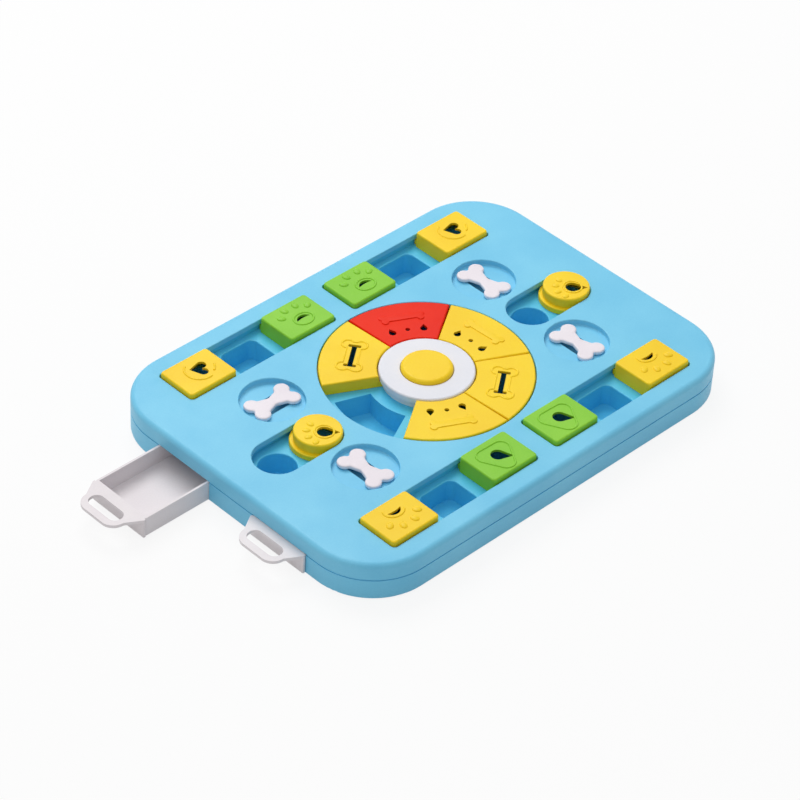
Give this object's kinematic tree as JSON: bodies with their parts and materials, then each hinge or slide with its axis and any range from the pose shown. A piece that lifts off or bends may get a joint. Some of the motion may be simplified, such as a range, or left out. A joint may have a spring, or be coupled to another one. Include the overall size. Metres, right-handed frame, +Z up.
{
  "type": "dog puzzle feeder toy",
  "caption": "Flat treat puzzle board for dogs with sliding covers over wells, a turning wheel of wedge covers, lift-out bones, a squeak button and pull-out drawers.",
  "frame": {"origin": "centre of the middle foot's underside, on the floor plane under the board's centre", "axes": "+Z up; +X along the board's long side, away from the drawers; +Y to the left when looking along +X"},
  "size_m": [0.487, 0.293, 0.0386],
  "materials": {
    "casing_blue": "satin",
    "tray_blue": "satin",
    "cover_yellow": "satin",
    "cover_green": "satin",
    "cover_red": "satin",
    "ring_white": "satin",
    "bone_white": "satin",
    "drawer_white": "satin",
    "feet_rubber": "matt",
    "screw_steel": "zinc"
  },
  "bodies": {
    "casing": {"base_shell": "casing_blue", "top_shell": "casing_blue", "rubber_feet": "feet_rubber", "case_screws": "screw_steel", "slide_tray_a": "tray_blue", "slide_tray_b": "tray_blue", "slide_tray_c": "tray_blue", "slide_tray_d": "tray_blue", "round_tray_far": "tray_blue", "round_tray_near": "tray_blue", "wheel_tray": "tray_blue", "hub_ring": "ring_white", "hub_screws": "screw_steel", "squeaker_reed": "ring_white", "squeaker_bellows": "feet_rubber"},
    "press_button": {"press_button": "cover_yellow"},
    "slider_yellow_a": {"slider_yellow_a": "cover_yellow"},
    "slider_green_a": {"slider_green_a": "cover_green"},
    "slider_yellow_b": {"slider_yellow_b": "cover_yellow"},
    "slider_green_b": {"slider_green_b": "cover_green"},
    "slider_yellow_c": {"slider_yellow_c": "cover_yellow"},
    "slider_green_c": {"slider_green_c": "cover_green"},
    "slider_yellow_d": {"slider_yellow_d": "cover_yellow"},
    "slider_green_d": {"slider_green_d": "cover_green"},
    "round_slider_far": {"round_slider_far": "cover_yellow"},
    "round_slider_near": {"round_slider_near": "cover_yellow"},
    "wedge_yellow_1": {"wedge_yellow_1": "cover_yellow"},
    "wedge_yellow_2": {"wedge_yellow_2": "cover_yellow"},
    "wedge_yellow_3": {"wedge_yellow_3": "cover_yellow"},
    "wedge_yellow_4": {"wedge_yellow_4": "cover_yellow"},
    "wedge_red": {"wedge_red": "cover_red"},
    "bone_1": {"bone_1": "bone_white"},
    "bone_2": {"bone_2": "bone_white"},
    "bone_3": {"bone_3": "bone_white"},
    "bone_4": {"bone_4": "bone_white"},
    "drawer_left": {"drawer_left": "drawer_white"},
    "drawer_right": {"drawer_right": "drawer_white"}
  },
  "joints": [
    {"name": "slider_yellow_a_slide", "type": "slide", "parent": "casing", "child": "slider_yellow_a", "axis": [1, 0, 0], "range_m": [-0.051, 0]},
    {"name": "slider_green_a_slide", "type": "slide", "parent": "casing", "child": "slider_green_a", "axis": [1, 0, 0], "range_m": [0, 0.051]},
    {"name": "slider_yellow_b_slide", "type": "slide", "parent": "casing", "child": "slider_yellow_b", "axis": [1, 0, 0], "range_m": [0, 0.051]},
    {"name": "slider_green_b_slide", "type": "slide", "parent": "casing", "child": "slider_green_b", "axis": [1, 0, 0], "range_m": [-0.051, 0]},
    {"name": "slider_yellow_c_slide", "type": "slide", "parent": "casing", "child": "slider_yellow_c", "axis": [1, 0, 0], "range_m": [-0.051, 0]},
    {"name": "slider_green_c_slide", "type": "slide", "parent": "casing", "child": "slider_green_c", "axis": [1, 0, 0], "range_m": [0, 0.051]},
    {"name": "slider_yellow_d_slide", "type": "slide", "parent": "casing", "child": "slider_yellow_d", "axis": [1, 0, 0], "range_m": [0, 0.051]},
    {"name": "slider_green_d_slide", "type": "slide", "parent": "casing", "child": "slider_green_d", "axis": [1, 0, 0], "range_m": [-0.051, 0]},
    {"name": "round_slider_far_slide", "type": "slide", "parent": "casing", "child": "round_slider_far", "axis": [1, 0, 0], "range_m": [-0.0405, 0]},
    {"name": "round_slider_near_slide", "type": "slide", "parent": "casing", "child": "round_slider_near", "axis": [1, 0, 0], "range_m": [-0.0405, 0]},
    {"name": "wheel_turn", "type": "hinge", "parent": "casing", "child": "wedge_yellow_1", "pos_m": [0, 0, 0.03], "axis": [0, 0, 1], "continuous": true},
    {"name": "wedge_yellow_2_turn", "type": "hinge", "parent": "wedge_yellow_1", "child": "wedge_yellow_2", "pos_m": [0, 0, 0.03], "axis": [0, 0, -1], "range_deg": [-60, 0]},
    {"name": "wedge_yellow_3_turn", "type": "hinge", "parent": "wedge_yellow_2", "child": "wedge_yellow_3", "pos_m": [0, 0, 0.03], "axis": [0, 0, -1], "range_deg": [-60, 0]},
    {"name": "wedge_red_turn", "type": "hinge", "parent": "wedge_yellow_3", "child": "wedge_red", "pos_m": [0, 0, 0.03], "axis": [0, 0, 1], "range_deg": [0, 60]},
    {"name": "wedge_yellow_4_turn", "type": "hinge", "parent": "wedge_red", "child": "wedge_yellow_4", "pos_m": [0, 0, 0.03], "axis": [0, 0, -1], "range_deg": [-60, 0]},
    {"name": "press_button_press", "type": "slide", "parent": "casing", "child": "press_button", "axis": [0, 0, -1], "range_m": [0, 0.004], "stiffness_N_per_m": 900, "springref_m": -0.001, "deforming": ["squeaker_bellows"]},
    {"name": "bone_1_lift", "type": "slide", "parent": "casing", "child": "bone_1", "axis": [0, 0, 1], "range_m": [0, 0.03]},
    {"name": "bone_2_lift", "type": "slide", "parent": "casing", "child": "bone_2", "axis": [0, 0, 1], "range_m": [0, 0.03]},
    {"name": "bone_3_lift", "type": "slide", "parent": "casing", "child": "bone_3", "axis": [0, 0, 1], "range_m": [0, 0.03]},
    {"name": "bone_4_lift", "type": "slide", "parent": "casing", "child": "bone_4", "axis": [0, 0, 1], "range_m": [0, 0.03]},
    {"name": "drawer_left_pull", "type": "slide", "parent": "casing", "child": "drawer_left", "axis": [-1, 0, 0], "range_m": [-0.061, 0.005]},
    {"name": "drawer_right_pull", "type": "slide", "parent": "casing", "child": "drawer_right", "axis": [-1, 0, 0], "range_m": [0, 0.066]}
  ]
}
